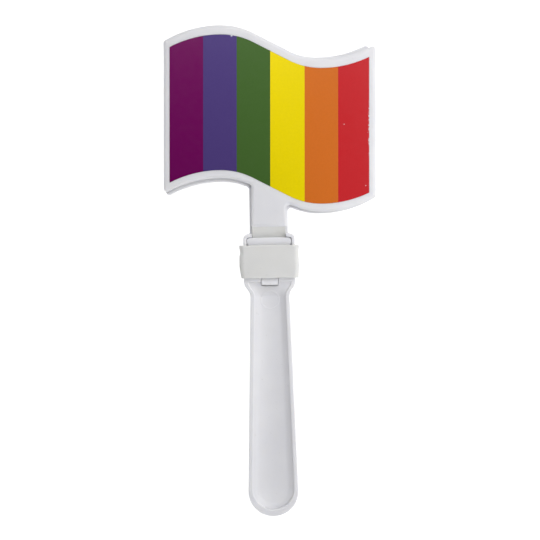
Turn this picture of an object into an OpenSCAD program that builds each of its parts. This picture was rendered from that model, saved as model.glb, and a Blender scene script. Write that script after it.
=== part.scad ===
// Hand clapper: a grip with a fixed middle leaf, and a swinging leaf in front and behind.
// It lies on its back: X across, Y towards the flag, Z up. Millimetres.

/* [Flag leaves] */
// Width of a swinging leaf's flag
flag_w = 106.2; // [90:0.2:125]
// Distance of the flag's middle to the right of its neck's middle
flag_shift = 0.4; // [-1:0.1:1]
// Turn of a swinging leaf's flag on its neck, in degrees
flag_turn = -1; // [-1.5:0.1:1.5]
// Height of a flag leaf, measured up its side edge
flag_h = 76.5; // [50:0.5:110]
// From the pivot up to the middle of the flag's lower edge
flag_rise = 23.5; // [22:0.5:40]
// Distance of the wave's crest and trough from the wave's middle
wave_reach = 25.1; // [20:0.1:30]
// Distance of the wave's middle to the right of the neck's middle
wave_shift = 1; // [-2:0.1:2]
// Height of the wave above and below its middle line
wave_amp = 8.4; // [4:0.1:10]
// How much of the way from crest to trough is curved, the rest being straight
wave_round = 0.86; // [0.6:0.01:0.97]
// Radius of the wave from crest or trough to the side edge
wave_r_out = 55; // [44:1:90]
// Radius at the corners of a flag
flag_corner = 1.6; // [0.8:0.1:3]
// Width of the middle leaf's flag
middle_w = 103.4; // [88:0.2:124]
// Distance of the middle leaf's flag to the right of its neck's middle
middle_shift = 0.3; // [-1:0.1:1]
// How far the middle leaf's lower edge lies below a swinging leaf's
middle_drop = 1.2; // [0:0.1:3]
// How far the middle leaf's upper edge lies above a swinging leaf's
middle_rise = 0.8; // [0:0.1:2]
// Thickness of the fixed middle leaf
middle_t = 3; // [2:0.1:4]
// Thickness of a swinging leaf
leaf_t = 2.8; // [2:0.1:4]
// Gap between the middle leaf and a closed swinging leaf
leaf_gap = 0.3; // [0.2:0.05:0.6]

/* [Sticker] */
// Depth of the shallow panel that the sticker lies in
sticker_sink = 0.3; // [0.2:0.05:0.6]
// Thickness of the printed sheet
sticker_t = 0.2; // [0.1:0.05:0.4]
// Room round the sheet in its panel
sticker_play = 0.15; // [0.1:0.05:0.5]
// Margin left of the sticker
margin_left = 3; // [2:0.1:8]
// Margin right of the sticker
margin_right = 3.3; // [2:0.1:8]
// Margin above the sticker
margin_top = 4.8; // [2:0.1:10]
// Margin below the sticker
margin_bottom = 3.9; // [2:0.1:10]
// Width of a whole stripe of the print
stripe_w = 16.9; // [14:0.1:21]
// Distance of the first two stripes' common edge to the left of the neck's middle
stripe_x = 33.2; // [28:0.1:40]

/* [Neck and pivot] */
// Width of a swinging leaf's neck
neck_w = 17.6; // [15:0.2:20]
// Extra width of the middle leaf's neck over that
middle_neck_extra = 1.6; // [0.2:0.1:3]
// Fillet where a neck meets its flag
neck_fillet = 1.8; // [1:0.1:3]
// Height above the pivot where the neck begins to thin
neck_end = 7.6; // [6:0.1:12]
// Width of the thinned root
root_w = 16.8; // [11:0.2:17.2]
// Step down from the neck's face to the root
root_step = 0.7; // [0.2:0.1:1.2]
// Thickness of the root at its thinnest
root_t = 1.3; // [1:0.1:2]
// Diameter of the pivot bar
bar_d = 3.75; // [3:0.05:4]
// Length of the pivot bar
bar_w = 22.2; // [20:0.2:22.4]
// Radius at the ends of the pivot bar, seen from the front
bar_corner = 1.4; // [0.5:0.1:1.4]
// How far the bar stands out in front of its axis
bar_front = 2.7; // [2:0.1:2.7]
// Height of the pivot axis from the middle plane
pivot_z = 4.2; // [3.9:0.05:4.4]
// Clearance of the bar in its seat
seat_play = 0.3; // [0.3:0.05:0.5]
// Width of the tail below the bar
tail_w = 8.2; // [6:0.1:12]
// How far the tail's tip stands out below the cross rib
tail_out = 1.4; // [0.8:0.1:2.5]
// Thickness of the tail at its tip
tail_tip_t = 1.3; // [0.8:0.05:1.5]
// Clearance between the tail and the band
tail_play = 0.3; // [0.2:0.05:0.4]

/* [Head and handle] */
// Thickness of the head
body_t = 15; // [14.8:0.1:18]
// Thickness of the grip from its waist down
grip_t = 9; // [7:0.1:14.4]
// Thickness of the web in the middle of the head and grip
web_t = 1.6; // [1.2:0.1:1.8]
// Width of the head
head_w = 25.7; // [25.4:0.1:32]
// Thickness of the head's rim
rim_t = 1.45; // [1.2:0.05:1.6]
// Thickness of the rim across the top of the head
rim_top_t = 1.75; // [1.2:0.05:2]
// Room between the pivot bar's seat and the rim above it
rim_play = 0; // [0:0.05:0.6]
// Corner radius at the top of the head
head_corner = 2.8; // [1.8:0.1:4]
// Fillet between the head and the middle leaf's neck
head_fillet = 1.2; // [0.6:0.1:2]
// Play at each side of a leaf's root in its slot
slot_play = 0.3; // [0.3:0.05:0.8]
// Play at each side of a leaf's tail in its slot
tail_side_play = 0.3; // [0.3:0.05:0.8]
// Thickness of a seat's lower wall
seat_wall = 1.6; // [1:0.1:2.5]
// Distance of the cross rib's lower face below the pivot
rib_y = 20.3; // [19.8:0.1:23]
// Thickness of the cross rib
rib_t = 2.6; // [1.2:0.1:3]
// How far the head's shoulders lie above the rib's lower face
shoulder_rise = 0.7; // [0:0.1:2]
// Width of the grip at its waist
waist_w = 19.6; // [16:0.2:22]
// Length of the curve from the head's side down to the waist
waist_len = 8; // [6:0.2:12]
// Width of the grip at its round end
end_w = 25; // [20:0.2:32]
// Distance of the grip's end below the pivot
end_y = 137.4; // [110:0.5:170]
// Wall of the grip beside the trough
wall_t = 2.2; // [1.6:0.1:3]
// Wall of the grip at its round end
end_wall_t = 3.4; // [2:0.1:4]
// Radius of the round pad in the trough
pad_r = 4.5; // [3:0.1:5.5]
// Height of the pad
pad_h = 0.35; // [0.1:0.05:0.5]
// Distance of the pad's middle below the waist
pad_drop = 1.6; // [0:0.1:10]

/* [Band] */
// Length of the band along the grip
band_len = 16.4; // [12:0.1:16.6]
// Distance of the band's top edge below the pivot
band_y = 1.8; // [1.6:0.1:2]
// Wall of the band at the sides
band_side_t = 2.1; // [1:0.1:3]
// Wall of the band at the front and back
band_face_t = 1.5; // [1:0.1:2.5]
// Radius at the band's outer corners
band_corner = 2.6; // [1:0.1:3]

/* [Hidden] */
$fn = 96;
over = 1;
arc_step = 3;
small_step = 12;
small_r = 10;
white = [0.93, 0.93, 0.94];
natural = [0.86, 0.86, 0.85];
purple = [0.41, 0.02, 0.33];
blue = [0.29, 0.24, 0.47];
green = [0.25, 0.39, 0.18];
yellow = [0.89, 0.82, 0];
orange = [0.81, 0.43, 0.16];
red = [0.78, 0.18, 0.2];
inks = [purple, blue, green, yellow, orange, red];
// Levels above the middle plane
half_t = body_t / 2;
grip_z = grip_t / 2;
web_z = web_t / 2;
blade_z = middle_t / 2 + leaf_gap;
blade_top = blade_z + leaf_t;
panel_z = blade_top - sticker_sink;
root_top = blade_top - root_step;
root_z = blade_z + root_t;
bar_z = pivot_z + bar_front;
tail_z = half_t - tail_play;
// Places along the length, from the pivot
bar_r = bar_d / 2;
seat_r = bar_r + seat_play;
heel_y = 1.5 * bar_r;
tail_y = 1.4 * bar_r;
pocket_top = seat_r + rim_play;
head_top = pocket_top + rim_top_t;
tail_len = rib_y + tail_out;
shoulder_y = rib_y - shoulder_rise;
slope_y = band_y + band_len;
waist_y = shoulder_y + waist_len;
end_r = end_w / 2;
end_cy = end_y - end_r;
flag_y = flag_rise + flag_h;
middle_y = flag_y + middle_rise;
// Places across the width
flag_x0 = flag_shift - flag_w / 2;
flag_x1 = flag_shift + flag_w / 2;
root_slot_x = root_w / 2 + slot_play;
tail_slot_x = tail_w / 2 + tail_side_play;
// From the origin, on the floor under the middle of the outline, to the pivot
shift_x = -flag_shift;
shift_y = (end_y - middle_y - wave_amp) / 2;
shift_z = half_t + band_face_t;
// Wave between crest and trough: two equal arcs and the straight line that touches both
wave_r_in = wave_round * (pow(wave_reach, 2) + pow(wave_amp, 2)) / (2 * wave_amp);
wave_dy = 2 * (wave_r_in - wave_amp);
wave_d = norm([2 * wave_reach, wave_dy]);
wave_a = asin(2 * wave_r_in / wave_d) - atan2(wave_dy, 2 * wave_reach);

// Upright side of a right triangle from its slope c and foot a
function leg(c, a) = sqrt(pow(c, 2) - pow(a, 2));
// Direction of a vector
function dir(v) = atan2(v[1], v[0]);
// The same direction between 0 and 360
function dir360(v) = (dir(v) + 360) % 360;
// Points on an arc round c from angle a0 to a1
function arc(c, r, a0, a1) =
    let (n = ceil(abs(a1 - a0) / (r < small_r ? small_step : arc_step)))
    [for (i = [0 : n]) let (t = a0 + (a1 - a0) * i / n) c + r * [cos(t), sin(t)]];
// The same arc without its first point, to go on from a point already there
function arc_on(c, r, a0, a1) =
    let (v = arc(c, r, a0, a1))
    [for (i = [1 : len(v) - 1]) v[i]];
// Points in the opposite order
function back(v) = [for (i = [len(v) - 1 : -1 : 0]) v[i]];
// Points mirrored across the Y axis
function flip(v) = [for (q = v) [-q[0], q[1]]];
// Centres of the wave's crest and trough arcs of radius r, with the wave's middle line at y
function crest_c(y, r) = [wave_shift - wave_reach, y + wave_amp - r];
function trough_c(y, r) = [wave_shift + wave_reach, y - wave_amp + r];
// Wave from left to right, from angle a0 on the outer crest arc to a1 on the outer trough arc
function wave(y, a0, a1) = concat(
    arc(crest_c(y, wave_r_out), wave_r_out, a0, 90),
    arc_on(crest_c(y, wave_r_in), wave_r_in, 90, 90 - wave_a),
    arc(trough_c(y, wave_r_in), wave_r_in, 270 - wave_a, 270),
    arc_on(trough_c(y, wave_r_out), wave_r_out, 270, a1));
// Centre of a flag's corner on the side at x, by an outer arc round c.
// up is 1 above that centre and -1 below it; far is 1 outside the arc's circle and -1 inside it.
function corner_c(x, c, up, far) =
    let (fx = x - sign(x) * flag_corner)
    [fx, c[1] + up * leg(wave_r_out + far * flag_corner, fx - c[0])];
// Centre of the fillet beside a neck's side at x, by an inner arc round c
function fillet_c(x, c, up, far) =
    let (fx = x + sign(x) * neck_fillet)
    [fx, c[1] + up * leg(wave_r_in + far * neck_fillet, fx - c[0])];
// Radius of two equal arcs that make an S over dx and dy
function s_radius(dx, dy) = (pow(dx, 2) + pow(dy, 2)) / (4 * dx);

// From the pivot's frame to the part's frame
module place() {
    translate([shift_x, shift_y, shift_z])
        children();
}

// Waving panel with sharp corners from x0 to x1, between two heights of the wave's middle line
module wave_panel(x0, x1, y0, y1) {
    a0 = acos((x0 - wave_shift + wave_reach) / wave_r_out);
    a1 = 360 - acos((x1 - wave_shift - wave_reach) / wave_r_out);
    polygon(concat(wave(y0, a0, a1), back(wave(y1, a0, a1))));
}

// Waving flag with rounded corners from x0 to x1, between two heights of the wave's middle line.
// It has a filleted neck of width w that reaches down to y.
module flag_and_neck(w, y, x0, x1, y0, y1) {
    // Arc centres of the lower and upper edge, inner and outer
    lci = crest_c(y0, wave_r_in);
    lti = trough_c(y0, wave_r_in);
    lco = crest_c(y0, wave_r_out);
    lto = trough_c(y0, wave_r_out);
    uco = crest_c(y1, wave_r_out);
    uto = trough_c(y1, wave_r_out);
    // Centres of the corners, left and right, and of the neck's fillets
    bl = corner_c(x0, lco, 1, 1);
    br = corner_c(x1, lto, -1, -1);
    tl = corner_c(x0, uco, 1, -1);
    tr = corner_c(x1, uto, -1, 1);
    nl = fillet_c(-w / 2, lci, 1, -1);
    nr = fillet_c(w / 2, lti, -1, 1);
    upper = wave(y1, dir(tl - uco), dir360(tr - uto));
    polygon(concat(
        [[w / 2, y]],
        arc(nr, neck_fillet, 180, dir(lti - nr)),
        arc_on(lti, wave_r_in, dir360(nr - lti), 270),
        arc_on(lto, wave_r_out, 270, dir360(br - lto)),
        arc_on(br, flag_corner, dir360(br - lto), 360),
        arc(tr, flag_corner, 0, dir(uto - tr)),
        back([for (i = [0 : len(upper) - 2]) upper[i]]),
        arc_on(tl, flag_corner, dir(tl - uco), 180),
        arc(bl, flag_corner, 180, dir360(lco - bl)),
        arc_on(lco, wave_r_out, dir(bl - lco), 90),
        arc_on(lci, wave_r_in, 90, dir(nl - lci)),
        arc_on(nl, neck_fillet, dir(nl - lci), 0),
        [[-w / 2, y]]));
}

// Upright prism of width w across X from an outline in Y and Z
module side_prism(w) {
    translate([-w / 2, 0, 0])
        rotate([90, 0, 90])
            linear_extrude(w)
                children();
}

// Rectangle with all four corners rounded, about the origin
module round_rect(w, h, r) {
    square([w - 2 * r, h], center = true);
    square([w, h - 2 * r], center = true);
    for (x = [-1, 1], y = [-1, 1])
        translate([x * (w / 2 - r), y * (h / 2 - r)])
            circle(r);
}

// Sticker outline, with room g round it
module sticker_outline(g) {
    wave_panel(flag_x0 + margin_left - g, flag_x1 - margin_right + g,
               flag_rise + margin_bottom - g, flag_y - margin_top + g);
}

// Area of the print's stripe i, the outer two reaching to the flag's edges
module stripe(i) {
    x0 = i == 0 ? flag_x0 : -stripe_x + (i - 1) * stripe_w;
    x1 = i == len(inks) - 1 ? flag_x1 : -stripe_x + i * stripe_w;
    translate([x0, 0])
        square([x1 - x0, flag_y + wave_amp]);
}

// Pivot bar: round behind its axis, flat in front, with rounded ends
module pivot_bar() {
    intersection() {
        union() {
            translate([-bar_w / 2, 0, pivot_z])
                rotate([0, 90, 0])
                    cylinder(r = bar_r, h = bar_w);
            translate([-bar_w / 2, -bar_r, pivot_z])
                cube([bar_w, bar_d, bar_front]);
        }
        linear_extrude(bar_z + over)
            round_rect(bar_w, bar_d, bar_corner);
    }
}

// Swinging leaf in the pivot's frame, closed against the middle leaf
module leaf() {
    rotate([0, 0, flag_turn])
        difference() {
            translate([0, 0, blade_z])
                linear_extrude(leaf_t)
                    flag_and_neck(neck_w, neck_end, flag_x0, flag_x1, flag_rise, flag_y);
            translate([0, 0, panel_z])
                linear_extrude(leaf_t)
                    sticker_outline(sticker_play);
        }
    side_prism(root_w)
        polygon([[neck_end + over, blade_z], [neck_end + over, root_top], [neck_end, root_top],
                 [bar_r, root_z], [0, root_z], [0, pivot_z - bar_r], [heel_y, blade_z]]);
    pivot_bar();
    side_prism(tail_w)
        polygon([[0, pivot_z - bar_r], [0, bar_z], [-bar_r, bar_z], [-tail_y, tail_z],
                 [-tail_len, tail_z], [-tail_len, tail_z - tail_tip_t]]);
}

// Grip outline below the shoulders, drawn in from its sides by g and from its end by e
module grip_outline(g, e) {
    a = [head_w / 2 - g, -shoulder_y];
    b = [waist_w / 2 - g, -waist_y];
    r = s_radius(a[0] - b[0], waist_len);
    bend = 2 * atan2(a[0] - b[0], waist_len);
    k = end_r - g;
    end = [0, -end_cy - g + e];
    turn = dir(b - end) - acos(k / norm(b - end));
    side = concat([a + [0, over]],
                  arc(a - [r, 0], r, 0, -bend),
                  arc_on(b + [r, 0], r, 180 - bend, 180));
    polygon(concat(side, arc(end, k, turn, -180 - turn), flip(back(side))));
}

// Head outline of width w from its top down to below the shoulders
module head_outline(w, top, r) {
    translate([-w / 2, -shoulder_y - over])
        square([w, shoulder_y + over + top - r]);
    translate([-w / 2 + r, 0])
        square([w - 2 * r, top]);
    for (x = [-1, 1])
        translate([x * (w / 2 - r), top - r])
            circle(r);
}

// What is cut from one side of the head and grip
module side_cut() {
    floor_y = rib_y - rib_t;
    // Pocket of the head
    translate([0, 0, web_z])
        linear_extrude(half_t)
            intersection() {
                head_outline(head_w - 2 * rim_t, pocket_top, head_corner - rim_t);
                translate([-head_w, -floor_y])
                    square([2 * head_w, floor_y + head_top]);
            }
    // Slot in the rim for the leaf's root
    translate([-root_slot_x, 0, middle_t / 2])
        cube([2 * root_slot_x, head_top + over, half_t]);
    // Slot in the cross rib for the leaf's tail
    translate([-tail_slot_x, -rib_y - over, web_z])
        cube([2 * tail_slot_x, rib_t + 2 * over, half_t]);
    // Trough of the grip
    translate([0, 0, web_z])
        linear_extrude(half_t)
            intersection() {
                grip_outline(wall_t, end_wall_t);
                translate([-head_w, -end_y])
                    square([2 * head_w, end_y - rib_y]);
            }
    // Slope from the band's lower edge to the waist, and the thinner grip below it
    side_prism(2 * end_w)
        polygon([[-slope_y, half_t], [-waist_y, grip_z], [-end_y - over, grip_z],
                 [-end_y - over, half_t + over], [-slope_y, half_t + over]]);
}

// Half-round seats for the ends of one pivot bar
module seats() {
    for (s = [0, 1])
        mirror([s, 0, 0])
            difference() {
                translate([root_slot_x, -seat_r - seat_wall, 0])
                    cube([head_w / 2 - rim_t / 2 - root_slot_x, seat_r + seat_wall + pocket_top + rim_t / 2,
                          pivot_z]);
                translate([0, 0, pivot_z])
                    rotate([0, 90, 0])
                        cylinder(r = seat_r, h = head_w / 2 - rim_t);
            }
}

// Grip, head and middle leaf in one moulding
module handle() {
    neck = neck_w + middle_neck_extra;
    color(white)
        place() {
            difference() {
                translate([0, 0, -half_t])
                    linear_extrude(body_t) {
                        head_outline(head_w, head_top, head_corner);
                        grip_outline(0, 0);
                    }
                for (s = [0, 1])
                    mirror([0, 0, s])
                        side_cut();
            }
            for (s = [0, 1])
                mirror([0, 0, s])
                    seats();
            translate([0, 0, -middle_t / 2])
                linear_extrude(middle_t) {
                    flag_and_neck(neck, head_top - rim_t, middle_shift - middle_w / 2, middle_shift + middle_w / 2,
                                  flag_rise - middle_drop, middle_y);
                    for (x = [-1, 1])
                        translate([x * neck / 2, head_top])
                            difference() {
                                translate([-head_fillet, -rim_t / 2])
                                    square([2 * head_fillet, head_fillet + rim_t / 2]);
                                translate([x * head_fillet, head_fillet])
                                    circle(head_fillet);
                            }
                }
            translate([0, -waist_y - pad_drop, 0])
                cylinder(r = pad_r, h = web_z + pad_h);
        }
}

module front_leaf() {
    color(white)
        place()
            leaf();
}

module rear_leaf() {
    color(white)
        place()
            mirror([0, 0, 1])
                leaf();
}

module band() {
    color(natural)
        place()
            translate([0, -band_y, 0])
                rotate([90, 0, 0])
                    linear_extrude(band_len)
                        difference() {
                            round_rect(head_w + 2 * band_side_t, body_t + 2 * band_face_t, band_corner);
                            square([head_w, body_t], center = true);
                        }
}

module front_sticker() {
    place()
        rotate([0, 0, flag_turn])
            translate([0, 0, panel_z])
                for (i = [0 : len(inks) - 1])
                    color(inks[i])
                        linear_extrude(sticker_t)
                            intersection() {
                                sticker_outline(0);
                                stripe(i);
                            }
}

handle();
front_leaf();
rear_leaf();
band();
front_sticker();
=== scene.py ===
from math import acos, asin, atan2, ceil, copysign, cos, degrees, hypot, pi, radians, sin, sqrt

import bmesh
import bpy
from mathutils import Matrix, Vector


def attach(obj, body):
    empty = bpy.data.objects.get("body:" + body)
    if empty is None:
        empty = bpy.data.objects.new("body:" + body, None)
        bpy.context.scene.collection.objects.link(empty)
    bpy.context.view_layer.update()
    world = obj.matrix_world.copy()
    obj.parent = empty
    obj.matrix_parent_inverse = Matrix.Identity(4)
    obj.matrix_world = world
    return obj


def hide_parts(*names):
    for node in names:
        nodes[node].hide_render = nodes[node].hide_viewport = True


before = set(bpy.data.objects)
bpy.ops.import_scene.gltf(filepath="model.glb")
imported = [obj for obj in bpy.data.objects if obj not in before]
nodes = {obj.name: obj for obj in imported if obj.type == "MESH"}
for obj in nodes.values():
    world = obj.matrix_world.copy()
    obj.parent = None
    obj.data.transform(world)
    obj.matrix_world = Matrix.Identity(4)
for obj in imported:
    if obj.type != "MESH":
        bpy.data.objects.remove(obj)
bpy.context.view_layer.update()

# Hand clapper. Lengths are in millimetres and angles in degrees, as in the CAD source.
# Places are measured from the middle between the pivots: X to the right, Y up to the flag, Z to the front.

# Flag leaves
FLAG_W = 106.2  # width of a swinging leaf's flag
FLAG_SHIFT = 0.4  # flag's middle to the right of the neck's
FLAG_TURN = -1.0  # turn of a swinging leaf's flag on its neck
FLAG_H = 76.5  # height of a flag up its side edge
FLAG_RISE = 23.5  # pivot to the middle of the flag's lower edge
FLAG_CORNER = 1.6  # radius at the corners of a flag
WAVE_REACH = 25.1  # wave's crest and trough from its middle
WAVE_SHIFT = 1.0  # wave's middle to the right of the neck's
WAVE_AMP = 8.4  # height of the wave above and below its middle line
WAVE_ROUND = 0.86  # share of the way from crest to trough that is curved
R_OUT = 55.0  # radius of the wave from crest or trough to the side edge
MIDDLE_W = 103.4  # width of the middle leaf's flag
MIDDLE_SHIFT = 0.3  # middle leaf's flag to the right of its neck's middle
MIDDLE_DROP = 1.2  # middle leaf's lower edge below a swinging leaf's
MIDDLE_RISE = 0.8  # middle leaf's upper edge above a swinging leaf's
MIDDLE_T = 3.0  # thickness of the middle leaf
LEAF_T = 2.8  # thickness of a swinging leaf
LEAF_GAP = 0.3  # gap between the middle leaf and a closed swinging leaf

# Sticker
STICKER_SINK = 0.3  # depth of the panel that the sticker lies in
STICKER_PLAY = 0.15  # room round the sticker in its panel
MARGIN_L = 3.0  # bare margin of the flag to the left of the sticker
MARGIN_R = 3.3  # to its right
MARGIN_T = 4.8  # above it
MARGIN_B = 3.9  # below it
STRIPE_W = 16.9  # width of a whole stripe
STRIPE_X = 33.2  # first two stripes' common edge to the left of the neck's middle
LIGHT_GAIN_X = (-4.6, 30.4)  # painted light on the ink goes down from full to slight between these, left to right
LIGHT_GAIN_Y = (30.0, 100.0)  # and goes up the flag between these, from a little painted shade to painted light
CHIPS_FROM = (42.0, 49.0)  # chips of the right edge set in between these heights
CHIPS_TO = (65.0, 71.0)  # and end between these
CHIP_DEPTH = 0.7  # depth of the deepest chip
CHIP_START = 0.1  # width of the strip at the edge that is bare anyway

# Neck and pivot
NECK_W = 17.6  # width of a swinging leaf's neck
NECK_EXTRA = 1.6  # extra width of the middle leaf's neck
NECK_FILLET = 1.8  # fillet where a neck meets its flag
NECK_END = 7.6  # height where the neck begins to thin
ROOT_W = 16.8  # width of the thinned root
ROOT_STEP = 0.7  # step down from the neck's face to the root
ROOT_T = 1.3  # thickness of the root at its thinnest
BAR_D = 3.75  # diameter of the pivot bar
BAR_W = 22.2  # length of the pivot bar
BAR_CORNER = 1.4  # radius at the bar's ends, seen from the front
BAR_FRONT = 2.7  # how far the bar stands out in front of its axis
PIVOT_Z = 4.2  # pivot's axis from the middle plane
SEAT_PLAY = 0.3  # clearance of the bar in its seat
TAIL_W = 8.2  # width of the tail below the bar
TAIL_OUT = 1.4  # how far the tail's tip stands out below the cross rib
TAIL_TIP_T = 1.3  # thickness of the tail at its tip
TAIL_PLAY = 0.3  # clearance between the tail and the band

# Head and grip
BODY_T = 15.0  # thickness of the head
GRIP_T = 9.0  # thickness of the grip from its waist down
WEB_T = 1.6  # thickness of the web in the middle of the head and grip
HEAD_W = 25.7  # width of the head
RIM_T = 1.45  # thickness of the head's rim
RIM_TOP_T = 1.75  # thickness of the rim across the top of the head
HEAD_CORNER = 2.8  # corner radius at the top of the head
HEAD_FILLET = 1.2  # fillet between the head and the middle leaf's neck
SEAT_WALL = 1.6  # thickness of a seat's lower wall
RIB_Y = 20.3  # cross rib's lower face below the pivot
RIB_T = 2.6  # thickness of the cross rib
SHOULDER_RISE = 0.7  # head's shoulders above the rib's lower face
WAIST_W = 19.6  # width of the grip at its waist
WAIST_LEN = 8.0  # length of the curve from the head's side to the waist
END_W = 25.0  # width of the grip at its round end
END_Y = 137.4  # grip's end below the pivot
WALL_T = 2.2  # wall of the grip beside the trough
END_WALL_T = 3.4  # wall of the grip at its round end
PAD_R = 4.5  # radius of the round mark in the trough
PAD_DROP = 1.6  # middle of the mark below the waist

# Band
BAND_LEN = 16.4  # length along the grip
BAND_Y = 1.8  # band's top edge below the pivot
BAND_SIDE_T = 2.1  # wall at the sides
BAND_FACE_T = 1.5  # wall at the front and back
BAND_CORNER = 2.6  # radius at the outer corners

# Small forms that only the visual model has
MIDDLE_EDGE = 0.7  # rounding of the middle leaf's edges
LEAF_BACK_EDGE = 0.4  # rounding of a swinging leaf's inner edge
LEAF_FRONT_EDGE = 0.7  # depth of the sloping margin at its outer edge
MARGIN_SPREAD = 2.1  # how many times as far in as down that margin reaches
MARGIN_BOW = 1.2  # how full the margin is: 1 is a chamfer, 2 an arc
RIM_EDGE = 0.45  # rounding of the head's and grip's rim
BAR_EDGE = 0.2  # rounding of the bar and the root
TAIL_EDGE = 0.08  # rounding of the tail
PANEL_DRAFT = 0.05  # how far the panel's side wall leans
DRAWN_GAP = 0.14  # gap beside bar, root and tail, narrower than the CAD's, which would look too black
BED_Z = 1.7  # level of the middle of the trough's bed
BOW_RISE = 1.45  # rise of the bowed bed from its middle to the walls
FOOT_RISE = 0.8  # height of the slanted foot along the walls
FOOT_W = 2.6  # its width
END_BOW = 0.45  # share of bow and foot that is left at the very end
RAMP_RISE = 2.2  # rise of the ramp at the cross rib
RAMP_LEN = 14.0  # its length
RIDGE_H = 0.15  # height of the ridge round the mark in the trough
RIDGE_W = 0.4  # half its width
SHARP_ANGLE = 38  # edges that bend more than this stay sharp

# Uneven sides of the soft band, with places along it as shares of its length from the top edge
DENT = 0.45  # depth of a dent in the left side
DENT_FROM = 0.03  # its start
DENT_LEN = 0.34  # its length
TUCK = 0.95  # how far the left side draws in at the lower edge
TUCK_FROM = 0.62  # where it begins to
TUCK_POWER = 1.4  # power of that curve
RIGHT_IN = 0.12  # how far the right side draws in at the top
RIGHT_TAPER = 0.3  # how much more at the lower edge
RIGHT_WANDER = 0.1  # how far it wanders about that line
RIGHT_WAVES = 7.0  # radians of that wander over the length
HOLLOW = 0.08  # depth of the hollows in the faces
RIPPLE = 0.05  # height of the ripples in the two edges
BAND_LIP = 0.1  # inner wall's edges inside the outer ones

# How finely shapes are divided
ARC_SPACING = 1.0  # about how far apart the points of an arc are
ARC_STEP_MIN = 1.2  # but at least this many degrees
ARC_STEP_MAX = 10.0  # and at most this many
BAND_SPACING = 1.2  # about how far apart the points round the band are
WELD = 0.002  # points closer than this become one
MITRE_MIN = 0.3  # keeps the points of an inset outline from running far out at sharp corners

# How shapes overlap before they are joined into one mesh
LAP = 0.3  # usual overlap
RIM_LAP = 0.1  # how far a rim reaches past the middle plane
END_LAP = 0.12  # overlap of the trough's bed with the end's wall
LONG_LAP = 1.0  # overlap of the root with the neck, and of the pit with the rib
BAR_LAP = 0.6  # how far the bar's front part reaches behind the axis
BACK_LAP = 0.4  # how far the bar's round back reaches in front of the axis
BACK_SHORTER = 1.2  # how much shorter than the bar its round back is
ROOT_BACK = 0.05  # root's lower end in front of the bar's back
TAIL_BACK = 0.1  # tail's upper end in front of the bar's back
TAIL_STEP = 0.3  # tail's upper end behind the bar's front
SEAT_FOOT = 0.2  # level of the seats' foot inside the web
FOOT_SINK = 1.65  # depth of the middle leaf's foot in the head
WEB_INSET = 0.03  # web's outline inside the rim's
WALL_START = 0.05  # points of the trough's wall are at least this far below the rib
ROW_MIN = 0.5  # rows across the trough's bed have half widths over this
OFF_PLANE = 0.02  # keeps two faces off one plane
SMALLEST = 1e-6  # keeps a divisor off zero

# Levels above the middle plane
HALF_T = BODY_T / 2
GRIP_Z = GRIP_T / 2
WEB_Z = WEB_T / 2
BLADE_Z = MIDDLE_T / 2 + LEAF_GAP
BLADE_TOP = BLADE_Z + LEAF_T

# Places along the length and across the width
BAR_R = BAR_D / 2
SEAT_R = BAR_R + SEAT_PLAY
HEEL_Y = 1.5 * BAR_R  # root's back is flat above this height
TAIL_Y = 1.4 * BAR_R  # tail's front is flat from this far below the axis
HEAD_TOP = SEAT_R + RIM_TOP_T
TAIL_LEN = RIB_Y + TAIL_OUT
SHOULDER_Y = RIB_Y - SHOULDER_RISE
WAIST_Y = SHOULDER_Y + WAIST_LEN
SLOPE_Y = BAND_Y + BAND_LEN
END_R = END_W / 2
END_CY = END_Y - END_R
FLAG_Y = FLAG_RISE + FLAG_H
MIDDLE_Y = FLAG_Y + MIDDLE_RISE
FLAG_X0 = FLAG_SHIFT - FLAG_W / 2
FLAG_X1 = FLAG_SHIFT + FLAG_W / 2
STICKER_X0 = FLAG_X0 + MARGIN_L
STICKER_X1 = FLAG_X1 - MARGIN_R
ROOT_SLOT_X = ROOT_W / 2 + DRAWN_GAP
TAIL_SLOT_X = TAIL_W / 2 + DRAWN_GAP
POCKET_X = BAR_W / 2 + DRAWN_GAP
POCKET_Y = BAR_R + DRAWN_GAP

# Wave between crest and trough: two equal arcs and the straight line that touches both
R_IN = WAVE_ROUND * (WAVE_REACH ** 2 + WAVE_AMP ** 2) / (2 * WAVE_AMP)
WAVE_DY = R_IN - WAVE_AMP
WAVE_A = degrees(asin(2 * R_IN / hypot(2 * WAVE_REACH, 2 * WAVE_DY)) - atan2(WAVE_DY, WAVE_REACH))

# From the frame's origin, on the floor under the middle of the outline, to the middle between the pivots
SHIFT_X = -FLAG_SHIFT
SHIFT_Y = (END_Y - MIDDLE_Y - WAVE_AMP) / 2
SHIFT_Z = HALF_T + BAND_FACE_T
MM = 1000  # millimetres in the frame's unit, the metre


def frame_x(x):
    """Place across the width in the frame, in metres."""
    return (SHIFT_X + x) / MM


def frame_y(y):
    """Place along the length in the frame, in metres."""
    return (SHIFT_Y + y) / MM


def limited(share):
    """Share held between none and all."""
    return min(1.0, max(0.0, share))


# Outlines
def arc(centre, r, a0, a1, skip=False):
    """Points of an arc from angle a0 to a1. skip leaves the first one out."""
    step = max(ARC_STEP_MIN, min(ARC_STEP_MAX, degrees(ARC_SPACING / r)))
    n = max(2, ceil(abs(a1 - a0) / step))
    angles = [radians(a0 + (a1 - a0) * i / n) for i in range(n + 1)]
    pts = [(centre[0] + r * cos(a), centre[1] + r * sin(a)) for a in angles]
    return pts[1:] if skip else pts


def heading(a, b):
    """Direction from point a to point b."""
    return degrees(atan2(b[1] - a[1], b[0] - a[0]))


def wave_crest(y, r):
    """Centre of an arc of radius r at the crest of a wave whose middle line is at y."""
    return (WAVE_SHIFT - WAVE_REACH, y + WAVE_AMP - r)


def wave_trough(y, r):
    """Centre of an arc of radius r at the trough of a wave whose middle line is at y."""
    return (WAVE_SHIFT + WAVE_REACH, y - WAVE_AMP + r)


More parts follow.
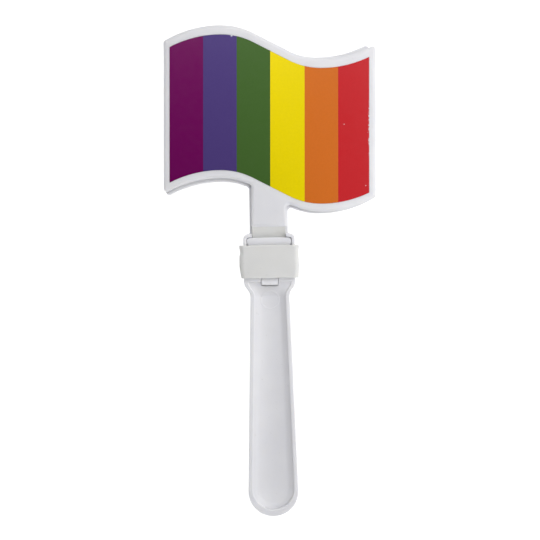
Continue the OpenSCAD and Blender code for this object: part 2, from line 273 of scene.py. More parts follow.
def wave(y, a0, a1):
    """Wave from left to right, from angle a0 of its first arc to angle a1 of its last one."""
    return (arc(wave_crest(y, R_OUT), R_OUT, a0, 90)
            + arc(wave_crest(y, R_IN), R_IN, 90, 90 - WAVE_A, True)
            + arc(wave_trough(y, R_IN), R_IN, 270 - WAVE_A, 270)
            + arc(wave_trough(y, R_OUT), R_OUT, 270, a1, True))


def sticker_panel():
    """Outline of the panel that the sticker lies in, with its play all round."""
    x0, x1 = STICKER_X0 - STICKER_PLAY, STICKER_X1 + STICKER_PLAY
    a0 = degrees(acos((x0 - WAVE_SHIFT + WAVE_REACH) / R_OUT))
    a1 = 360 - degrees(acos((x1 - WAVE_SHIFT - WAVE_REACH) / R_OUT))
    low = wave(FLAG_RISE + MARGIN_B - STICKER_PLAY, a0, a1)
    high = wave(FLAG_Y - MARGIN_T + STICKER_PLAY, a0, a1)
    return low + high[::-1]


def flag_and_neck(neck_w, neck_y, x0, x1, y0, y1, foot=0.0):
    """Waving flag from x0 to x1 and from y0 to y1, with a filleted neck of width neck_w down to neck_y.

    foot is the fillet at the neck's own foot, which stands FOOT_SINK deep in the head."""
    def corner(x, centre, up, side):
        """Centre of the rounding between the side edge x and the outer arc round a centre."""
        cx = x - copysign(FLAG_CORNER, x)
        return (cx, centre[1] + up * sqrt((R_OUT + side * FLAG_CORNER) ** 2 - (cx - centre[0]) ** 2))

    def fillet(x, centre, up, side):
        """Centre of the fillet between the neck's edge x and the inner arc round a centre."""
        cx = x + copysign(NECK_FILLET, x)
        return (cx, centre[1] + up * sqrt((R_IN + side * NECK_FILLET) ** 2 - (cx - centre[0]) ** 2))

    crest_in, trough_in = wave_crest(y0, R_IN), wave_trough(y0, R_IN)
    crest_out, trough_out = wave_crest(y0, R_OUT), wave_trough(y0, R_OUT)
    top_crest, top_trough = wave_crest(y1, R_OUT), wave_trough(y1, R_OUT)
    low_left, low_right = corner(x0, crest_out, 1, 1), corner(x1, trough_out, -1, -1)
    top_left, top_right = corner(x0, top_crest, 1, -1), corner(x1, top_trough, -1, 1)
    neck_left, neck_right = fillet(-neck_w / 2, crest_in, 1, -1), fillet(neck_w / 2, trough_in, -1, 1)
    upper = wave(y1, heading(top_crest, top_left), heading(top_trough, top_right) % 360)
    root = [(neck_w / 2, neck_y)]
    if foot:
        x = neck_w / 2 + foot
        root = [(x, neck_y), *arc((x, neck_y + FOOT_SINK + foot), foot, 270, 180)]
    return (root
            + arc(neck_right, NECK_FILLET, 180, heading(neck_right, trough_in))
            + arc(trough_in, R_IN, heading(trough_in, neck_right) % 360, 270, True)
            + arc(trough_out, R_OUT, 270, heading(trough_out, low_right) % 360, True)
            + arc(low_right, FLAG_CORNER, heading(trough_out, low_right) % 360, 360, True)
            + arc(top_right, FLAG_CORNER, 0, heading(top_right, top_trough))
            + upper[-2::-1]
            + arc(top_left, FLAG_CORNER, heading(top_crest, top_left), 180, True)
            + arc(low_left, FLAG_CORNER, 180, heading(low_left, crest_out) % 360)
            + arc(crest_out, R_OUT, heading(crest_out, low_left), 90, True)
            + arc(crest_in, R_IN, 90, heading(crest_in, neck_left), True)
            + arc(neck_left, NECK_FILLET, heading(crest_in, neck_left), 0, True)
            + [(-x, y) for x, y in root[::-1]])


def grip_side(inward, end_inward, steps=24):
    """Right side of the grip and half of its round end, drawn in by inward, and by end_inward at the end."""
    a = (HEAD_W / 2 - inward, -SHOULDER_Y)
    b = (WAIST_W / 2 - inward, -WAIST_Y)
    dx = a[0] - b[0]
    shoulder_r = (dx ** 2 + WAIST_LEN ** 2) / (4 * dx)
    bend = degrees(2 * atan2(dx, WAIST_LEN))
    end_r = END_R - inward
    end = (0.0, -END_CY - inward + end_inward)
    turn = heading(end, b) - degrees(acos(end_r / hypot(b[0] - end[0], b[1] - end[1])))
    touch = (end[0] + end_r * cos(radians(turn)), end[1] + end_r * sin(radians(turn)))
    straight = [(b[0] + (touch[0] - b[0]) * t / steps, b[1] + (touch[1] - b[1]) * t / steps)
                for t in range(1, steps)]
    shoulder = arc((a[0] - shoulder_r, a[1]), shoulder_r, 0, -bend)
    waist = arc((b[0] + shoulder_r, b[1]), shoulder_r, 180 - bend, 180, True)
    return shoulder + waist + straight, arc(end, end_r, turn, -90)


def head_corner():
    """Right upper corner of the head."""
    return arc((HEAD_W / 2 - HEAD_CORNER, HEAD_TOP - HEAD_CORNER), HEAD_CORNER, 90, 0)


def trough_side():
    """Right side of the trough below the cross rib, and its round end."""
    side, end = grip_side(WALL_T, END_WALL_T)
    return [p for p in side if p[1] < -RIB_Y - WALL_START], end


def flipped(pts):
    """Run of points mirrored left to right, in the opposite order."""
    return [(-x, y) for x, y in reversed(pts)]


def rounded_box(w, h, r):
    """Outline of a box with round corners, about the origin."""
    x, y = w / 2 - r, h / 2 - r
    return (arc((x, y), r, 0, 90) + arc((-x, y), r, 90, 180) + arc((-x, -y), r, 180, 270)
            + arc((x, -y), r, 270, 360))


def inset(pts, d):
    """Closed outline, anticlockwise, moved inwards by d."""
    out = []
    for i, p in enumerate(pts):
        before, after = pts[i - 1], pts[(i + 1) % len(pts)]
        u = Vector((p[0] - before[0], p[1] - before[1])).normalized()
        v = Vector((after[0] - p[0], after[1] - p[1])).normalized()
        m, n = Vector((-u.y, u.x)), Vector((-v.y, v.x))
        s = (m + n) / max(MITRE_MIN, 1 + m.dot(n))
        out.append((p[0] + d * s.x, p[1] + d * s.y))
    return out


def clean(pts, gap=0.02):
    """Outline without points that lie closer together than gap."""
    kept = []
    for p in pts:
        if not kept or hypot(p[0] - kept[-1][0], p[1] - kept[-1][1]) > gap:
            kept.append(p)
    if hypot(kept[0][0] - kept[-1][0], kept[0][1] - kept[-1][1]) <= gap:
        kept.pop()
    return kept


# Meshes, in millimetres until they are made into objects
def ring(bm, pts, z):
    """Loop of vertices along an outline at height z."""
    return [bm.verts.new((x, y, z)) for x, y in pts]


def skin(bm, loops):
    """Faces between each loop of vertices and the next."""
    for low, high in zip(loops, loops[1:]):
        n = len(low)
        for i in range(n):
            bm.faces.new((low[i], low[(i + 1) % n], high[(i + 1) % n], high[i]))


def fill(bm, *rings):
    """Flat face inside a ring, or between rings."""
    edges = []
    for r in rings:
        for i, v in enumerate(r):
            w = r[(i + 1) % len(r)]
            edges.append(bm.edges.get((v, w)) or bm.edges.new((v, w)))
    bmesh.ops.triangle_fill(bm, use_beauty=True, use_dissolve=False, edges=edges)


def round_levels(z0, z1, r0, r1, spread=1.0, bow=2.0, steps=6):
    """Inset and height of each loop of a plate with its lower edge rounded by r0 and its upper edge by r1.

    The upper rounding reaches spread times as far in as down.
    It is an arc at bow 2 and a chamfer at bow 1."""
    angles = [pi / 2 * i / steps for i in range(steps + 1)]
    low = [(r0 * (1 - sin(a)), z0 + r0 * (1 - cos(a))) for a in angles]
    top = [(spread * r1 * (1 - cos(a) ** (2 / bow)), z1 - r1 * (1 - sin(a) ** (2 / bow))) for a in angles]
    return (low if r0 else [(0, z0)]) + (top if r1 else [(0, z1)])


def plate(pts, z0, z1, r0, r1, hole=None, sink=0.0, spread=1.0, bow=2.0):
    """Plate of an outline with rounded edges, and a sunk panel of outline hole in its top."""
    bm = bmesh.new()
    pts = clean(pts)
    loops = [ring(bm, inset(pts, d), z) for d, z in round_levels(z0, z1, r0, r1, spread, bow)]
    skin(bm, loops)
    fill(bm, loops[0])
    if hole is None:
        fill(bm, loops[-1])
        return bm
    hole = clean(hole)
    lip = [ring(bm, hole, z1), ring(bm, inset(hole, PANEL_DRAFT), z1 - sink)]
    fill(bm, loops[-1], lip[0])
    skin(bm, lip)
    fill(bm, lip[1])
    return bm


def prism(profile, w, bevel):
    """Solid of width w across X from a profile in Y and Z, with its edges rounded by bevel."""
    bm = bmesh.new()
    left, right = [[bm.verts.new((x, y, z)) for y, z in profile] for x in (-w / 2, w / 2)]
    bm.faces.new(left)
    bm.faces.new(right[::-1])
    skin(bm, [left, right])
    bmesh.ops.recalc_face_normals(bm, faces=bm.faces)
    if bevel:
        bmesh.ops.bevel(bm, geom=bm.edges, offset=bevel, segments=3, profile=0.5, affect="EDGES",
                        clamp_overlap=True)
    return bm


def united(parts, operation="UNION"):
    """One closed mesh from closed meshes that overlap: all of them, or the first less the others."""
    objects = []
    for bm in parts:
        bmesh.ops.recalc_face_normals(bm, faces=bm.faces)
        obj = bpy.data.objects.new("part", bpy.data.meshes.new("part"))
        bm.to_mesh(obj.data)
        bm.free()
        bpy.context.scene.collection.objects.link(obj)
        objects.append(obj)
    for other in objects[1:]:
        join = objects[0].modifiers.new("join", "BOOLEAN")
        join.operation = operation
        join.solver = "EXACT"
        join.object = other
    bpy.context.view_layer.update()
    joined = objects[0].evaluated_get(bpy.context.evaluated_depsgraph_get())
    mesh = bpy.data.meshes.new_from_object(joined)
    whole = bmesh.new()
    whole.from_mesh(mesh)
    bpy.data.meshes.remove(mesh)
    for obj in objects:
        mesh = obj.data
        bpy.data.objects.remove(obj)
        bpy.data.meshes.remove(mesh)
    bmesh.ops.remove_doubles(whole, verts=whole.verts, dist=WELD)
    return whole


def moved(bm, move):
    """The mesh with each of its points moved by a function."""
    for v in bm.verts:
        v.co = move(v.co)
    return bm


def same(v):
    """Point left where it is."""
    return v


def mirrored(v):
    """Point on the other side of the middle plane."""
    return Vector((v.x, v.y, -v.z))


def turned(v):
    """Point of a swinging leaf's flag turned on its neck."""
    c, s = cos(radians(FLAG_TURN)), sin(radians(FLAG_TURN))
    return Vector((c * v.x - s * v.y, s * v.x + c * v.y, v.z))


def piece(name, bm, material, body, node):
    """Object of a mesh made in the pivots' frame, riding on a body and standing for a CAD node."""
    for v in bm.verts:
        v.co = (v.co + Vector((SHIFT_X, SHIFT_Y, SHIFT_Z))) / MM
    for f in bm.faces:
        f.smooth = True
    for e in bm.edges:
        e.smooth = len(e.link_faces) == 2 and e.calc_face_angle(0) < radians(SHARP_ANGLE)
    mesh = bpy.data.meshes.new(name)
    bm.to_mesh(mesh)
    bm.free()
    obj = bpy.data.objects.new(name, mesh)
    bpy.context.scene.collection.objects.link(obj)
    mesh.materials.append(material)
    obj.modifiers.new("normals", "WEIGHTED_NORMAL").keep_sharp = True
    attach(obj, body)
    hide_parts(node)


# Materials
class Nodes:
    """Short way to build a node material."""

    def __init__(self, name):
        self.mat = bpy.data.materials.new(name)
        self.mat.use_nodes = True
        self.tree = self.mat.node_tree
        self.shader = self.tree.nodes["Principled BSDF"]
        self.place = self("ShaderNodeTexCoord").outputs["Object"]

    def __call__(self, kind, inputs=None, **settings):
        """New node of a kind, with its settings and the values or links of its inputs."""
        node = self.tree.nodes.new(kind)
        for key, value in settings.items():
            setattr(node, key, value)
        for key, value in (inputs or {}).items():
            self.put(node.inputs[key], value)
        return node

    def put(self, socket, value):
        """Value or link for an input."""
        if hasattr(value, "is_output"):
            self.tree.links.new(value, socket)
        else:
            socket.default_value = value

    def set(self, **values):
        """Inputs of the surface, with underscores for spaces in their names."""
        for key, value in values.items():
            self.put(self.shader.inputs[key.replace("_", " ")], value)

    def noise(self, scale, detail):
        """Noise through the object, with its scale counted to the metre."""
        return self("ShaderNodeTexNoise", {"Vector": self.place, "Scale": scale, "Detail": detail}).outputs[0]

    def span(self, value, a, b, low, high):
        """Value that goes from low at a to high at b, and stays there outside."""
        ends = {"Value": value, "From Min": a, "From Max": b, "To Min": low, "To Max": high}
        return self("ShaderNodeMapRange", ends).outputs[0]

    def math(self, operation, a, b):
        """Result of an operation on two values."""
        return self("ShaderNodeMath", {0: a, 1: b}, operation=operation).outputs[0]

    def mix(self, share, a, b, blend="MIX"):
        """Colour a with a share of colour b."""
        return self("ShaderNodeMix", {0: share, 6: a, 7: b}, data_type="RGBA", blend_type=blend).outputs[2]

    def xyz(self, *values):
        """Vector or colour of two or three values."""
        return self("ShaderNodeCombineXYZ", dict(enumerate(values))).outputs[0]

    def bump(self, height, strength, distance):
        """Normals tilted by a height, which counts as distance metres."""
        values = {"Height": height, "Strength": strength, "Distance": distance}
        return self("ShaderNodeBump", values).outputs[0]


def srgb(r, g, b):
    """Linear colour of a screen colour given in levels of 255."""
    linear = [(c / 255 / 12.92) if c <= 10 else ((c / 255 + 0.055) / 1.055) ** 2.4 for c in (r, g, b)]
    return (*linear, 1.0)


FLECK_SHADE = (0.8, 0.8, 0.78)  # colour of a fleck as shares of the dark tint
ROOT_SHADE_TINT = srgb(216, 216, 214)  # painted shade on the thinned root, which lies sunk between the neck and the bar
ROOT_SHADE_BLUR = 0.0003  # metres over which that painted shade begins and ends
BARE_WHITE = srgb(225, 225, 228)  # film where the print is gone


def moulded(name, light, dark, rough, shade_span=None):
    """Injection-moulded plastic: faint cloudy tint, satin grain and a little flow unevenness.

    shade_span is the stretch along Y, the thinned root in its recess by the bar, that gets painted shade."""
    m = Nodes(name)
    cloud = m.span(m.noise(38.0, 4.0), 0.35, 0.68, 0.0, 1.0)
    grain = m.noise(2600.0, 2.0)
    flow = m.math("MULTIPLY", m.noise(160.0, 2.0), 1.5)
    fleck = m.span(m.noise(520.0, 1.0), 0.73, 0.78, 0.0, 0.25)
    tint = m.mix(cloud, light, dark)
    # Painted shade: the thinned root is tinted darker, as it lies in shade below the neck's face
    if shade_span:
        y = m("ShaderNodeSeparateXYZ", {0: m.place}).outputs[1]
        low, high = (frame_y(v) for v in shade_span)
        root_shade = m.math("MULTIPLY", m.span(y, low, low + ROOT_SHADE_BLUR, 0.0, 1.0),
                      m.span(y, high - ROOT_SHADE_BLUR, high, 1.0, 0.0))
        tint = m.mix(root_shade, tint, ROOT_SHADE_TINT)
    fleck_tint = [c * share for c, share in zip(dark, FLECK_SHADE)]
    m.set(Base_Color=m.mix(fleck, tint, (*fleck_tint, 1)),
          Roughness=m.span(m.noise(210.0, 3.0), 0.3, 0.7, rough - 0.05, rough + 0.06),
          Normal=m.bump(m.math("ADD", grain, flow), 0.12, 0.00008),
          IOR=1.49,
          Subsurface_Weight=0.7,
          Subsurface_Radius=(1.0, 0.97, 0.9),
          Subsurface_Scale=0.0014)
    return m.mat


def stripes(m, x):
    """Six upright stripes across the sticker: purple, violet, green, yellow, orange and red."""
    inks = (srgb(103, 3, 82), srgb(73, 57, 117), srgb(64, 96, 42),
            srgb(230, 208, 0), srgb(205, 107, 35), srgb(192, 36, 42))
    node = m("ShaderNodeValToRGB", {0: m.span(x, frame_x(STICKER_X0), frame_x(STICKER_X1), 0.0, 1.0)})
    ramp = node.color_ramp
    ramp.interpolation = "CONSTANT"
    while len(ramp.elements) < len(inks):
        ramp.elements.new(1.0)
    for i, ink in enumerate(inks):
        left_edge = (i - 1) * STRIPE_W - STRIPE_X
        ramp.elements[i].position = max(0.0, (left_edge - STICKER_X0) / (STICKER_X1 - STICKER_X0))
        ramp.elements[i].color = ink
    return node.outputs[0]


def wear(m, x, y):
    """Where the print is gone: chips along a part of the right edge, a notch at the top and two specks."""
    depth = m.span(m.noise(1100.0, 2.0), 0.5, 0.72, 0.0, CHIP_DEPTH / MM)
    stretch = m.math("MULTIPLY", m.span(y, *map(frame_y, CHIPS_FROM), 0.0, 1.0),
                     m.span(y, *map(frame_y, CHIPS_TO), 1.0, 0.0))
    reach = m.math("ADD", x, m.math("MULTIPLY", depth, stretch))
    worn = m.math("GREATER_THAN", reach, frame_x(STICKER_X1 - CHIP_START))
    # Place of each spot, its radius, and how much of the print it takes away
    spots = (((-18.7, 103.1), 0.5, 1.0), ((37.6, 58.7), 0.3, 0.4), ((48.4, 28.0), 0.25, 0.6))
    for (at_x, at_y), r, share in spots:
        ends = {0: m.xyz(x, y), 1: (frame_x(at_x), frame_y(at_y), 0)}
        away = m("ShaderNodeVectorMath", ends, operation="DISTANCE").outputs["Value"]
        worn = m.math("MAXIMUM", worn, m.math("MULTIPLY", m.math("LESS_THAN", away, r / MM), share))
    return worn


def printed():
    """Printed film: stripes upright on the flag, with mottled ink, painted light that makes the ink lighter
    towards the upper left, and a little wear.
    """
    m = Nodes("printed_film")
    turn = {"Vector": m.place, "Center": (frame_x(0), frame_y(0), 0), "Axis": (0, 0, 1),
            "Angle": -radians(FLAG_TURN)}
    upright = m("ShaderNodeSeparateXYZ", {0: m("ShaderNodeVectorRotate", turn).outputs[0]})
    x, y = upright.outputs[0], upright.outputs[1]
    # Painted light: ink made lighter towards the top, mostly on the left, with a little painted shade at the
    # bottom
    mottle = m.span(m.noise(900.0, 2.0), 0.3, 0.7, 0.98, 1.02)
    on_left = m.span(x, *map(frame_x, LIGHT_GAIN_X), 1.0, 0.15)
    painted_light = m.math("MULTIPLY", on_left, m.span(y, *map(frame_y, LIGHT_GAIN_Y), -0.06, 0.17))
    shade = m.math("ADD", mottle, painted_light)
    ink = m.mix(1.0, stripes(m, x), m.xyz(shade, shade, shade), "MULTIPLY")
    m.set(Base_Color=m.mix(wear(m, x, y), ink, BARE_WHITE),
          Roughness=m.span(m.noise(300.0, 3.0), 0.3, 0.7, 0.2, 0.26),
          Normal=m.bump(m.noise(1500.0, 2.0), 0.08, 0.00005),
          Specular_IOR_Level=0.25)
    return m.mat


# Grip, head and middle leaf
def rim_outline():
    """Rim of the head and grip on one side, all round the open pocket and trough."""
    side, end = grip_side(0, 0)
    outer = [(ROOT_SLOT_X, HEAD_TOP), *head_corner(), (HEAD_W / 2, -SLOPE_Y), *side, *end]
    corner_r = HEAD_CORNER - RIM_T
    rib_top = -RIB_Y + RIB_T
    side, end = trough_side()
    inner = [(ROOT_SLOT_X, POCKET_Y), *arc((POCKET_X - corner_r, POCKET_Y - corner_r), corner_r, 90, 0),
             (POCKET_X, rib_top), (TAIL_SLOT_X, rib_top), (TAIL_SLOT_X, -SLOPE_Y), (TAIL_SLOT_X, -RIB_Y),
             (side[0][0], -RIB_Y), *side, *end]
    left_inner = [(-x, y) for x, y in inner]
    # Down the right outside, up the left outside, then back along the inside
    loop = outer + flipped(outer)[1:] + left_inner + flipped(left_inner)[1:]
    return loop[::-1]


def slope_left(y):
    """Share of the head's extra thickness that is left at height y, on the slope to the thinner grip."""
    return 1 - limited((-y - SLOPE_Y) / (WAIST_Y - SLOPE_Y))


def sloped(v):
    """Point of the full-height rim let down along the slope to the thinner grip."""
    if v.z < GRIP_Z / 2:
        return v
    return Vector((v.x, v.y, v.z - (1 - slope_left(v.y)) * (HALF_T - GRIP_Z)))


def trough_edge():
    """Right edge of the trough from the cross rib down to the end."""
    side, end = trough_side()
    return clean(side + end)


TROUGH_EDGE = trough_edge()


def wall_gap(x, y):
    """Distance from a point in the right half of the trough to its edge."""
    gaps = []
    for (ax, ay), (bx, by) in zip(TROUGH_EDGE, TROUGH_EDGE[1:]):
        dx, dy = bx - ax, by - ay
        t = limited(((x - ax) * dx + (y - ay) * dy) / (dx * dx + dy * dy))
        gaps.append(hypot(x - ax - t * dx, y - ay - t * dy))
    return min(gaps)


def trough_half(y):
    """Half the trough's width at height y, or its radius in the round end."""
    if y < -END_CY:
        return END_R - WALL_T
    for (ax, ay), (bx, by) in zip(TROUGH_EDGE, TROUGH_EDGE[1:]):
        if by <= y <= ay:
            return ax + (bx - ax) * (y - ay) / (by - ay)
    return TROUGH_EDGE[0][0]


def bed_height(x, y):
    """Height of the trough's bed: a shallow bow, a slanted foot at the walls and a ramp up to the rib."""
    gap = wall_gap(abs(x), y)
    bow = BOW_RISE * limited(1 - gap / trough_half(y)) ** 2 + FOOT_RISE * limited(1 - gap / FOOT_W)
    if y < -END_CY:
        bow *= END_BOW + (1 - END_BOW) * x ** 2 / (x ** 2 + (y + END_CY) ** 2)
    near_rib = limited(1 - (-RIB_Y - y) / RAMP_LEN) ** 2
    ramp = slope_left(y) * (HALF_T - GRIP_Z) + near_rib * RAMP_RISE
    return BED_Z + ramp + (1 - near_rib) * bow


def trough_bed(columns=36):
    """Bed of the trough with a pit where a tail swings in."""
    def border(sheet):
        """Vertices round a sheet: down its left, across its end, up its right and back along the rib."""
        left = [row[0] for row in sheet]
        right = [row[-1] for row in sheet[-2::-1]]
        return left + sheet[-1][1:] + right + sheet[0][-2:0:-1]

    edge = [p for p in TROUGH_EDGE if p[0] > ROW_MIN]
    rows = [(edge[0][0], -RIB_Y + LAP)] + edge
    bm = bmesh.new()
    top, low = [], []
    for half, y in rows:
        across = [-half * cos(pi * k / columns) for k in range(columns + 1)]
        pts = [(x, bed_height(x, y)) for x in across]
        pts = [(-half - LAP, pts[0][1])] + pts + [(half + LAP, pts[-1][1])]
        top.append([bm.verts.new((x, y, z)) for x, z in pts])
        low.append([bm.verts.new((x, y, WEB_Z - LAP)) for x, z in pts])
    for sheet in (top, low):
        for v in sheet[-1]:
            v.co.y -= END_LAP
        for a, b in zip(sheet, sheet[1:]):
            for k in range(len(a) - 1):
                bm.faces.new((a[k], a[k + 1], b[k + 1], b[k]))
    skin(bm, [border(top), border(low)])
    y0, y1 = -TAIL_LEN - TAIL_PLAY, -RIB_Y + LONG_LAP
    z0, z1 = WEB_Z + OFF_PLANE, HALF_T
    pit = prism([(y0, z0), (y1, z0), (y1, z1), (y0, z1)], 2 * TAIL_SLOT_X, 0)
    return united([bm, pit], "DIFFERENCE")


def pad_mark(points=72):
    """Round mark in the trough: a low ridge that follows the bed."""
    bm = bmesh.new()
    loops = []
    for out, up in ((-RIDGE_W, -LAP), (-RIDGE_W, 0.0), (0.0, RIDGE_H), (RIDGE_W, 0.0), (RIDGE_W, -LAP)):
        loop = []
        for i in range(points):
            a = 2 * pi * i / points
            x = (PAD_R + out) * cos(a)
            y = (PAD_R + out) * sin(a) - WAIST_Y - PAD_DROP
            loop.append(bm.verts.new((x, y, bed_height(x, y) + up)))
        loops.append(loop)
    skin(bm, loops + loops[:1])
    return bm


def seat(side):
    """Half-round seat for the pivot bar's end, on the right for side 1 and on the left for side -1."""
    bm = bmesh.new()
    low_y, high_y = -SEAT_R - SEAT_WALL, SEAT_R + RIM_T / 2
    profile = ([(low_y, SEAT_FOOT), (low_y, PIVOT_Z), (-SEAT_R, PIVOT_Z)]
               + arc((0, PIVOT_Z), SEAT_R, 180, 360)[1:-1]
               + [(SEAT_R, PIVOT_Z), (high_y, PIVOT_Z), (high_y, SEAT_FOOT)])
    reach = (ROOT_SLOT_X, HEAD_W / 2 - RIM_T / 2)
    ends = [[bm.verts.new((side * x, y, z)) for y, z in profile] for x in reach]
    skin(bm, ends)
    for e in ends:
        fill(bm, e)
    return bm


def handle_mesh():
    """Grip, head and middle leaf in one moulding, alike at the front and the back but for the round mark."""
    side, end = grip_side(0, 0)
    right = head_corner() + side + end
    web = (right + flipped(right)[1:])[::-1]
    middle = flag_and_neck(NECK_W + NECK_EXTRA, HEAD_TOP - FOOT_SINK, MIDDLE_SHIFT - MIDDLE_W / 2,
                           MIDDLE_SHIFT + MIDDLE_W / 2, FLAG_RISE - MIDDLE_DROP, MIDDLE_Y, HEAD_FILLET)
    parts = [plate(middle, -MIDDLE_T / 2, MIDDLE_T / 2, MIDDLE_EDGE, MIDDLE_EDGE),
             plate(inset(clean(web), WEB_INSET), -WEB_Z, WEB_Z, 0, 0)]
    for move in (same, mirrored):
        rim = moved(plate(rim_outline(), -RIM_LAP, HALF_T, 0, RIM_EDGE), sloped)
        parts += [moved(rim, move), moved(trough_bed(), move)]
        parts += [moved(seat(s), move) for s in (-1, 1)]
    parts.append(pad_mark())
    return united(parts)


def leaf_mesh(move):
    """Swinging leaf: flag and neck, thinned root, pivot bar with a round back, and tail."""
    blade = plate(flag_and_neck(NECK_W, NECK_END, FLAG_X0, FLAG_X1, FLAG_RISE, FLAG_Y), BLADE_Z, BLADE_TOP,
                  LEAF_BACK_EDGE, LEAF_FRONT_EDGE, sticker_panel(), STICKER_SINK, MARGIN_SPREAD, MARGIN_BOW)
    bar_z = PIVOT_Z + BAR_FRONT
    bar_back = PIVOT_Z - BAR_R
    root_low, root_z, root_top = BLADE_Z + OFF_PLANE, BLADE_Z + ROOT_T, BLADE_TOP - ROOT_STEP
    root = prism([(NECK_END + LONG_LAP, root_low), (NECK_END + LONG_LAP, root_top), (NECK_END, root_top),
                  (BAR_R, root_z), (0, root_z), (0, bar_back + ROOT_BACK), (HEEL_Y, root_low)],
                 ROOT_W, BAR_EDGE)
    bar = plate(rounded_box(BAR_W, BAR_D, BAR_CORNER), PIVOT_Z - BAR_LAP, bar_z, 0, BAR_EDGE)
    back_r = BAR_R - OFF_PLANE
    back = prism(arc((0, PIVOT_Z), back_r, 180, 360)
                 + [(back_r, PIVOT_Z + BACK_LAP), (-back_r, PIVOT_Z + BACK_LAP)], BAR_W - BACK_SHORTER, 0)
    tail_z = HALF_T - TAIL_PLAY
    tail = prism([(0, bar_back + TAIL_BACK), (0, bar_z - TAIL_STEP), (-BAR_R, bar_z - TAIL_STEP),
                  (-TAIL_Y, tail_z), (-TAIL_LEN, tail_z), (-TAIL_LEN, tail_z - TAIL_TIP_T)],
                 TAIL_W, TAIL_EDGE)
    bm = moved(united([moved(blade, turned), root, bar, back, tail]), move)
    if move is mirrored:
        bmesh.ops.reverse_faces(bm, faces=bm.faces)
    return bm


# Band. Its sides wander with s, which goes from 0 at its top edge to 1 at its lower edge.
def band_left(s):
    """How far the band draws in on its left: a dent near the top, and more at the lower edge."""
    dent = DENT * sin(pi * limited((s - DENT_FROM) / DENT_LEN)) ** 2
    return dent + TUCK * limited((s - TUCK_FROM) / (1 - TUCK_FROM)) ** TUCK_POWER


def band_right(s):
    """How far the band draws in on its right."""
    return RIGHT_IN + RIGHT_TAPER * s + RIGHT_WANDER * sin(RIGHT_WAVES * s)


def band_section():
    """Outer outline of the band across the grip, with closely spaced points."""
    outline = rounded_box(HEAD_W + 2 * BAND_SIDE_T, BODY_T + 2 * BAND_FACE_T, BAND_CORNER)
    dense = []
    for i, p in enumerate(outline):
        q = outline[(i + 1) % len(outline)]
        n = max(1, int(hypot(q[0] - p[0], q[1] - p[1]) / BAND_SPACING))
        dense += [(p[0] + (q[0] - p[0]) * k / n, p[1] + (q[1] - p[1]) * k / n) for k in range(n)]
    return clean(dense)


def band_mesh(levels=27):
    """Soft sleeve pushed over the head: its sides wander a little, and its faces have slight hollows."""
    half_w, half_t = HEAD_W / 2 + BAND_SIDE_T, HALF_T + BAND_FACE_T
    outer = band_section()
    # Rounded edge: how far in it is, and how far along
    edge = [(0.22, 0.0), (0.07, 0.03), (0.0, 0.14)]
    steps = (edge + [(0.0, BAND_LEN * i / levels) for i in range(1, levels)]
             + [(d, BAND_LEN - y) for d, y in reversed(edge)])
    bm = bmesh.new()
    loops = []
    for d, y in steps:
        s = y / BAND_LEN
        loop = []
        for x, z in inset(outer, d):
            draw = band_left(s) if x < 0 else band_right(s)
            x -= copysign(draw, x) * min(1, abs(x) / half_w) ** 3
            # Hollows in the faces and ripples in the edges are slow waves across the width
            hollow = HOLLOW * abs(sin(0.31 * x + 3.0 * s)) * (abs(z) / half_t) ** 4
            ripple = RIPPLE * max(0.0, sin(0.55 * x + 1.0) * (1 - s) + sin(0.4 * x) * s)
            loop.append(bm.verts.new((x, -BAND_Y - y - ripple * (1 - 2 * s), z - copysign(hollow, z))))
        loops.append(loop)
    skin(bm, loops)
    # Inner wall: each point of the outline drawn in to the head
    shares = [min(HEAD_W / 2 / max(abs(x), SMALLEST), HALF_T / max(abs(z), SMALLEST)) for x, z in outer]
    inner = [(x * k, z * k) for (x, z), k in zip(outer, shares)]
    walls = [[bm.verts.new((x, -BAND_Y - y, z)) for x, z in inner] for y in (BAND_LIP, BAND_LEN - BAND_LIP)]
    skin(bm, walls)
    skin(bm, [loops[0], walls[0]])
    skin(bm, [loops[-1], walls[1]])
    bmesh.ops.recalc_face_normals(bm, faces=bm.faces)
    return bm


# Pieces
WHITE_TINTS = srgb(228, 228, 231), srgb(222, 222, 226)
WHITE = moulded("moulded_white", *WHITE_TINTS, rough=0.42)
# The leaves' thinned root gets painted shade
LEAF_WHITE = moulded("leaf_white", *WHITE_TINTS, rough=0.42, shade_span=(BAR_R, NECK_END))
NATURAL = moulded("soft_natural", srgb(221, 221, 220), srgb(214, 214, 213), rough=0.5)

nodes["front_sticker"].data.materials.clear()
nodes["front_sticker"].data.materials.append(printed())
piece("handle_moulding", handle_mesh(), WHITE, "handle", "handle")
piece("front_leaf_moulding", leaf_mesh(same), LEAF_WHITE, "front_leaf", "front_leaf")
piece("rear_leaf_moulding", leaf_mesh(mirrored), LEAF_WHITE, "rear_leaf", "rear_leaf")
piece("band_sleeve", band_mesh(), NATURAL, "handle", "band")

# Floor, light and camera, in metres
FLOOR_Z = -0.03
FLOOR_REACH = 30.0


def floor():
    """Plain bright floor, low enough for the rear leaf to swing above it."""
    m = Nodes("pale_floor")
    cloud = m.span(m.noise(3.0, 2.0), 0.3, 0.7, 0.0, 1.0)
    m.set(Base_Color=m.mix(cloud, (0.21, 0.21, 0.21, 1), (0.19, 0.19, 0.19, 1)),
          Roughness=0.9,
          Emission_Color=(1, 1, 1, 1),
          Emission_Strength=0.97)
    bm = bmesh.new()
    for x, y in ((-1, -1), (1, -1), (1, 1), (-1, 1)):
        bm.verts.new((x * FLOOR_REACH, y * FLOOR_REACH, FLOOR_Z))
    bm.faces.new(bm.verts)
    mesh = bpy.data.meshes.new("floor")
    bm.to_mesh(mesh)
    bm.free()
    obj = bpy.data.objects.new("floor", mesh)
    bpy.context.scene.collection.objects.link(obj)
    mesh.materials.append(m.mat)


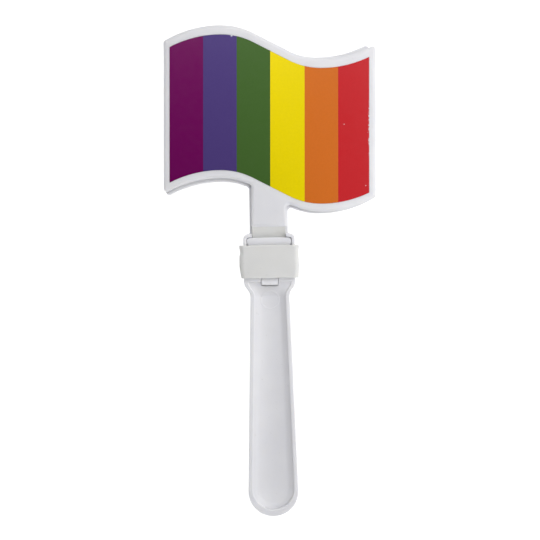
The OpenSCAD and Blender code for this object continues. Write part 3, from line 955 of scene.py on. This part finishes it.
def softbox(name, at, size, share):
    """Softbox that adds about share of a white sheet's brightness to a face that looks up at the middle."""
    place = Vector(at)
    light = bpy.data.lights.new(name, "AREA")
    light.shape = "RECTANGLE"
    light.size, light.size_y = size
    light.energy = share * pi ** 2 * place.length ** 3 / place.z
    obj = bpy.data.objects.new(name, light)
    bpy.context.scene.collection.objects.link(obj)
    obj.location = place
    obj.rotation_euler = (-place).to_track_quat("-Z", "Y").to_euler()


def studio():
    """Dim room that is pale just above the floor's far edge."""
    world = bpy.data.worlds.new("studio")
    bpy.context.scene.world = world
    world.use_nodes = True
    tree = world.node_tree
    place = tree.nodes.new("ShaderNodeTexCoord")
    split = tree.nodes.new("ShaderNodeSeparateXYZ")
    pale = tree.nodes.new("ShaderNodeMapRange")
    for socket, value in (("From Min", 0.16), ("From Max", 0.30), ("To Min", 0.9), ("To Max", 0.03)):
        pale.inputs[socket].default_value = value
    back = tree.nodes["Background"]
    back.inputs["Color"].default_value = (1, 1, 1, 1)
    tree.links.new(place.outputs["Generated"], split.inputs[0])
    tree.links.new(split.outputs["Z"], pale.inputs["Value"])
    tree.links.new(pale.outputs[0], back.inputs["Strength"])


floor()
softbox("key", at=(0.22, 0.03, 0.30), size=(0.7, 0.22), share=0.73)
softbox("top", at=(0.0, 0.58, 0.81), size=(0.8, 0.5), share=0.265)
softbox("bottom", at=(0.1, -0.7, 0.8), size=(0.8, 0.5), share=0.13)
softbox("left", at=(-0.8, 0, 0.7), size=(0.8, 0.5), share=0.06)
studio()

# Camera straight above the front leaf
FIELD = 0.270  # width of the picture at the leaf's face
DISTANCE = 0.50
ROLL = -1.03  # degrees by which the grip leans in the picture
SENSOR = 36  # millimetres
PICTURE_X = 0.24  # picture's middle from the pivots, in millimetres
PICTURE_Y = -14.205
camera = bpy.data.cameras.new("camera")
camera.sensor_width = SENSOR
camera.lens = SENSOR * DISTANCE / FIELD
eye = bpy.data.objects.new("camera", camera)
bpy.context.scene.collection.objects.link(eye)
eye.location = (frame_x(PICTURE_X), frame_y(PICTURE_Y), (SHIFT_Z + BLADE_TOP) / MM + DISTANCE)
eye.rotation_euler = (0, 0, radians(ROLL))
bpy.context.scene.camera = eye
bpy.context.scene.view_settings.view_transform = "Standard"

bpy.context.view_layer.update()
